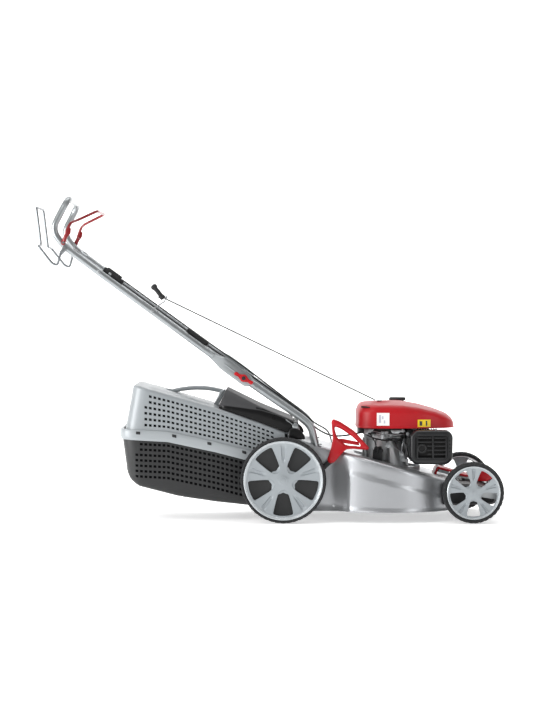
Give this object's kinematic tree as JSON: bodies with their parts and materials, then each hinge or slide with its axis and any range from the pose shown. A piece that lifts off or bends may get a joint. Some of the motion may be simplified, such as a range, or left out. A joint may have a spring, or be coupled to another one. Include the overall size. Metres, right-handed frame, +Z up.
{
  "type": "walk-behind lawn mower",
  "caption": "Petrol walk-behind lawn mower with a silver steel deck, red engine cover, four spoked wheels, folding handle with two bails and a rear grass box.",
  "frame": {"origin": "on the ground under the centre of the bounding box", "axes": "+X forward, +Y to the mower's left, +Z up"},
  "size_m": [1.5372, 0.53, 1.0678],
  "materials": {
    "deck_steel": "silver metallic paint, satin",
    "tube_steel": "silver powder coat, satin",
    "bare_steel": "bare or zinc-plated steel",
    "black_steel": "satin black enamel",
    "cast_aluminium": "as cast",
    "red_plastic": "gloss red",
    "red_steel": "red enamel",
    "black_plastic": "fine grain black",
    "grey_plastic": "fine grain silver grey",
    "rim_plastic": "silver metallic plastic",
    "tyre_rubber": "dark grey rubber",
    "cord": "black sheathed cord"
  },
  "bodies": {
    "chassis": {"deck": "deck_steel", "crankcase": "cast_aluminium", "cylinder_block": "cast_aluminium", "blower_housing": "red_plastic", "fuel_tank": "black_plastic", "muffler_guard": "black_steel", "muffler": "bare_steel", "carburettor": "cast_aluminium", "air_filter_cover": "black_plastic", "spark_plug": "black_plastic", "v_belt": "tyre_rubber", "front_apron": "black_plastic", "front_carry_handle": "red_plastic", "lever_quadrant": "black_steel", "lower_handle_right": "tube_steel", "lower_handle_left": "tube_steel", "clamp_bolt_right": "bare_steel", "clamp_bolt_left": "bare_steel", "flap_hinge_rod": "bare_steel", "flap_spring": "bare_steel", "starter_rope": "cord", "brake_cable": "cord", "drive_cable": "cord"},
    "handle": {"upper_handle": "tube_steel", "cable_clip": "black_plastic", "cable_block": "black_plastic", "rope_guide": "bare_steel"},
    "brake_bail": {"brake_bail": "red_steel"},
    "drive_bail": {"drive_bail": "bare_steel"},
    "wing_right": {"clamp_wing_right": "red_plastic"},
    "wing_left": {"clamp_wing_left": "red_plastic"},
    "starter_grip": {"starter_grip": "black_plastic"},
    "starter_pulley": {"starter_pulley": "black_plastic"},
    "fuel_cap": {"fuel_cap": "black_plastic"},
    "oil_cap": {"oil_cap": "black_plastic"},
    "rear_crank": {"rear_axle": "black_steel", "height_lever": "black_steel", "height_lever_grip": "red_plastic", "gearbox": "cast_aluminium"},
    "front_crank": {"front_axle": "black_steel"},
    "wheel_front_right": {"tyre_front_right": "tyre_rubber", "rim_front_right": "rim_plastic"},
    "wheel_front_left": {"tyre_front_left": "tyre_rubber", "rim_front_left": "rim_plastic"},
    "wheel_rear_right": {"tyre_rear_right": "tyre_rubber", "rim_rear_right": "rim_plastic", "wheel_disc_rear_right": "black_plastic"},
    "wheel_rear_left": {"tyre_rear_left": "tyre_rubber", "rim_rear_left": "rim_plastic", "wheel_disc_rear_left": "black_plastic"},
    "cutter": {"crankshaft": "bare_steel", "flywheel": "cast_aluminium", "blade": "bare_steel"},
    "gearbox_pulley": {"gearbox_pulley": "black_plastic"},
    "drive_shaft": {"drive_shaft": "bare_steel"},
    "rear_flap": {"rear_flap": "black_plastic"},
    "grass_box": {"box_upper_shell": "grey_plastic", "box_lower_shell": "black_plastic", "box_handle": "grey_plastic"}
  },
  "joints": [
    {"name": "handle_fold", "type": "hinge", "parent": "chassis", "child": "handle", "pos_m": [-0.07925, 0, 0.471], "axis": [0, 1, 0], "range_deg": [0, 135], "deforming": ["starter_rope", "brake_cable", "drive_cable"]},
    {"name": "brake_bail", "type": "hinge", "parent": "handle", "child": "brake_bail", "pos_m": [-0.66675, 0, 0.9136], "axis": [0, -1, 0], "range_deg": [0, 26], "stiffness_Nm_per_rad": 1.5, "springref_deg": -17.19},
    {"name": "drive_bail", "type": "hinge", "parent": "handle", "child": "drive_bail", "pos_m": [-0.67425, 0, 0.884], "axis": [0, 1, 0], "range_deg": [0, 32], "stiffness_Nm_per_rad": 1.5, "springref_deg": -17.19},
    {"name": "clamp_wing_right", "type": "hinge", "parent": "handle", "child": "wing_right", "pos_m": [-0.07925, -0.2, 0.471], "axis": [0, -1, 0], "range_deg": [0, 180]},
    {"name": "clamp_wing_left", "type": "hinge", "parent": "handle", "child": "wing_left", "pos_m": [-0.07925, 0.2, 0.471], "axis": [0, 1, 0], "range_deg": [0, 180]},
    {"name": "starter_pull", "type": "slide", "parent": "handle", "child": "starter_grip", "axis": [-0.8893, -0.1474, 0.4329], "range_m": [0, 0.3], "stiffness_N_per_m": 20, "springref_m": -0.1},
    {"name": "starter_pulley_spin", "type": "hinge", "parent": "chassis", "child": "starter_pulley", "pos_m": [0.39275, 0, 0.32], "axis": [0, 0, 1], "continuous": true},
    {"name": "fuel_cap_turn", "type": "hinge", "parent": "chassis", "child": "fuel_cap", "pos_m": [0.43875, 0.09, 0.4], "axis": [0, 0, 1], "range_deg": [0, 90]},
    {"name": "oil_cap_turn", "type": "hinge", "parent": "chassis", "child": "oil_cap", "pos_m": [0.36675, -0.09, 0.23], "axis": [0, 0, 1], "range_deg": [0, 90]},
    {"name": "height_lever", "type": "hinge", "parent": "chassis", "child": "rear_crank", "pos_m": [0.12025, 0, 0.125], "axis": [0, 1, 0], "range_deg": [-40, 0], "deforming": ["v_belt"]},
    {"name": "front_crank", "type": "hinge", "parent": "chassis", "child": "front_crank", "pos_m": [0.73875, 0, 0.085], "axis": [0, 1, 0], "range_deg": [-40, 0]},
    {"name": "wheel_spin_front_right", "type": "hinge", "parent": "front_crank", "child": "wheel_front_right", "pos_m": [0.66875, -0.24, 0.1], "axis": [0, 1, 0], "continuous": true},
    {"name": "wheel_spin_front_left", "type": "hinge", "parent": "front_crank", "child": "wheel_front_left", "pos_m": [0.66875, 0.24, 0.1], "axis": [0, 1, 0], "continuous": true},
    {"name": "wheel_spin_rear_right", "type": "hinge", "parent": "rear_crank", "child": "wheel_rear_right", "pos_m": [0.05025, -0.24, 0.14], "axis": [0, 1, 0], "continuous": true},
    {"name": "wheel_spin_rear_left", "type": "hinge", "parent": "rear_crank", "child": "wheel_rear_left", "pos_m": [0.05025, 0.24, 0.14], "axis": [0, 1, 0], "continuous": true},
    {"name": "cutter_spin", "type": "hinge", "parent": "chassis", "child": "cutter", "pos_m": [0.39275, 0, 0.165], "axis": [0, 0, 1], "continuous": true},
    {"name": "gearbox_pulley_spin", "type": "hinge", "parent": "rear_crank", "child": "gearbox_pulley", "pos_m": [0.05875, 0, 0.157], "axis": [0, 0, 1], "continuous": true},
    {"name": "drive_shaft_spin", "type": "hinge", "parent": "rear_crank", "child": "drive_shaft", "pos_m": [0.05025, 0, 0.14], "axis": [0, 1, 0], "continuous": true},
    {"name": "rear_flap", "type": "hinge", "parent": "chassis", "child": "rear_flap", "pos_m": [0.08975, 0, 0.312], "axis": [0, 1, 0], "range_deg": [0, 42], "stiffness_Nm_per_rad": 0.5, "springref_deg": -17.19},
    {"name": "grass_box_lift", "type": "slide", "parent": "chassis", "child": "grass_box", "axis": [-0.9848, 0, 0.1736], "range_m": [0, 0.5]}
  ],
  "couplings": [
    {"joint": "front_crank", "follows": "height_lever", "ratio": 1},
    {"joint": "gearbox_pulley_spin", "follows": "cutter_spin", "ratio": 0.66667},
    {"joint": "starter_pulley_spin", "follows": "starter_pull", "rad_per_m": -36}
  ]
}
